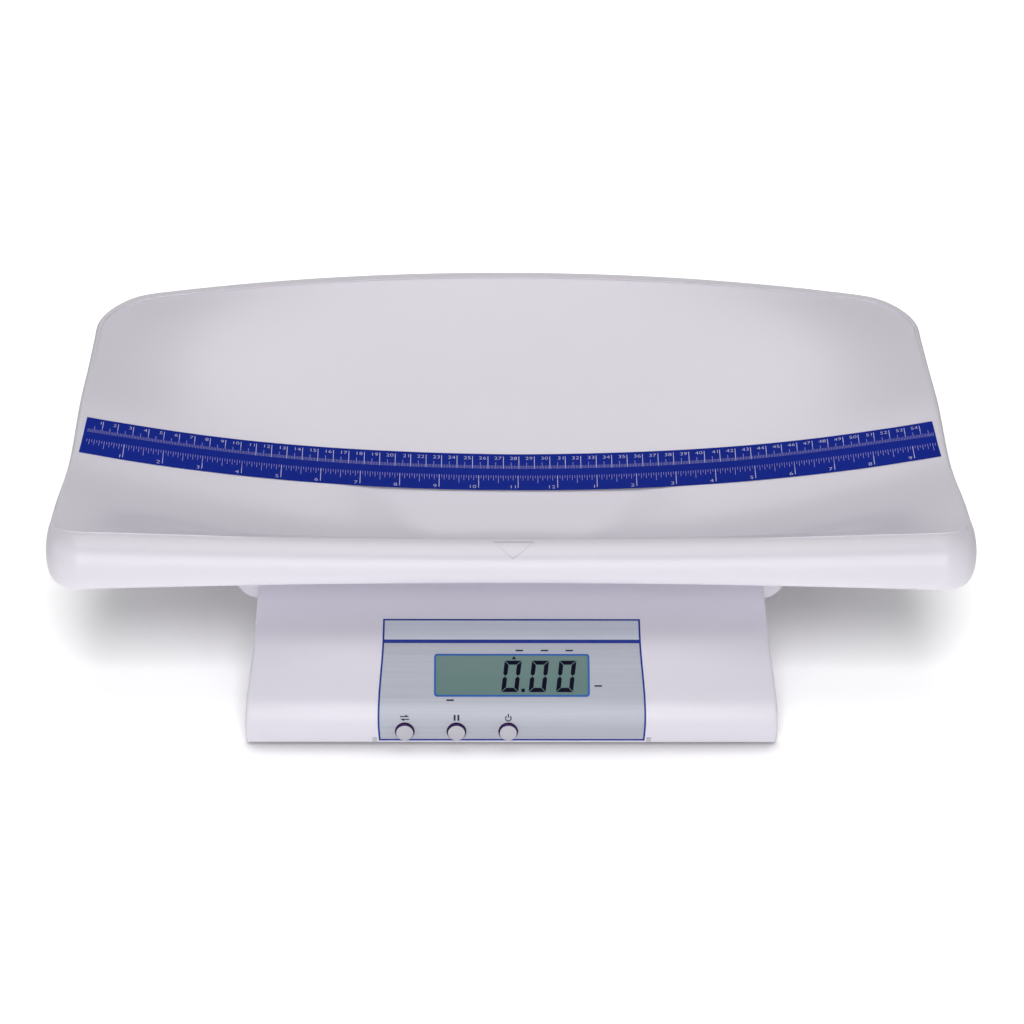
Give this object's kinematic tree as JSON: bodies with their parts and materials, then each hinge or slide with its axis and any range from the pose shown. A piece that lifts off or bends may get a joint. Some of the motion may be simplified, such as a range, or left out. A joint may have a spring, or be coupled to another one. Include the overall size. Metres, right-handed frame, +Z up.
{
  "type": "digital baby weighing scale",
  "caption": "Digital baby weighing scale with a long curved bowl tray, a printed measuring tape across it, and a sloping front panel with display window and push buttons.",
  "frame": {"origin": "middle of the whole scale's footprint, on the floor under the feet", "axes": "+X along the tray to the right as seen from the front panel, +Y from the front panel to the back, +Z up"},
  "size_m": [0.5664, 0.3321, 0.18],
  "materials": {
    "white_plastic": "smooth moulded ABS, semi-gloss",
    "silver_label": "printed polycarbonate film with a brushed silver ground",
    "display_window": "clear window",
    "silver_button": "silver-white caps",
    "blue_tape": "printed self-adhesive film",
    "rubber": "soft black rubber",
    "steel": "zinc-plated steel",
    "aluminium": "milled aluminium",
    "circuit_board": "green solder mask",
    "components": "black moulded parts",
    "display_glass": "liquid-crystal cell",
    "inner_plastic": "unpolished moulded plastic",
    "battery": "plain battery cans"
  },
  "bodies": {
    "base": {"top_housing": "white_plastic", "bottom_cover": "white_plastic", "fascia_clips": "inner_plastic", "fascia_label": "silver_label", "display_window": "display_window", "rubber_feet": "rubber", "contact_strips": "rubber", "base_plate": "steel", "load_cell": "aluminium", "cell_base_spacer": "steel", "overload_stops": "steel", "cell_base_bolts": "steel", "cover_screws": "steel", "plate_screws": "steel", "board_screws": "steel", "battery_contacts": "steel", "main_board": "circuit_board", "display_board": "circuit_board", "button_board": "circuit_board", "board_components": "components", "tact_switches": "components", "power_jack": "components", "display_holder": "inner_plastic", "board_standoffs": "inner_plastic", "battery_box": "inner_plastic", "lcd_glass": "display_glass", "aa_cells": "battery"},
    "platform": {"tray": "white_plastic", "measuring_tape": "blue_tape", "tray_support": "white_plastic", "tray_screws": "steel", "platform_posts": "aluminium", "post_bolts": "steel", "platform_bracket": "steel", "cell_platform_bolts": "steel", "cell_platform_spacer": "steel"},
    "unit_button": {"unit_button": "silver_button"},
    "hold_button": {"hold_button": "silver_button"},
    "power_button": {"power_button": "silver_button"},
    "battery_door": {"battery_door": "white_plastic"}
  },
  "joints": [
    {"name": "tray_press", "type": "slide", "parent": "base", "child": "platform", "axis": [0, 0, -1], "range_m": [0, 0.0005], "stiffness_N_per_m": 400000, "springref_m": -0.00004, "deforming": ["load_cell"]},
    {"name": "unit_button_press", "type": "slide", "parent": "base", "child": "unit_button", "axis": [0, 1, 0], "range_m": [0, 0.0007], "stiffness_N_per_m": 2100, "springref_m": -0.0001},
    {"name": "hold_button_press", "type": "slide", "parent": "base", "child": "hold_button", "axis": [0, 1, 0], "range_m": [0, 0.0007], "stiffness_N_per_m": 2100, "springref_m": -0.0001},
    {"name": "power_button_press", "type": "slide", "parent": "base", "child": "power_button", "axis": [0, 1, 0], "range_m": [0, 0.0007], "stiffness_N_per_m": 2100, "springref_m": -0.0001},
    {"name": "battery_door_hinge", "type": "hinge", "parent": "base", "child": "battery_door", "pos_m": [-0.09585, -0.0159, 0.006], "axis": [0, -1, 0], "range_deg": [0, 75]}
  ]
}
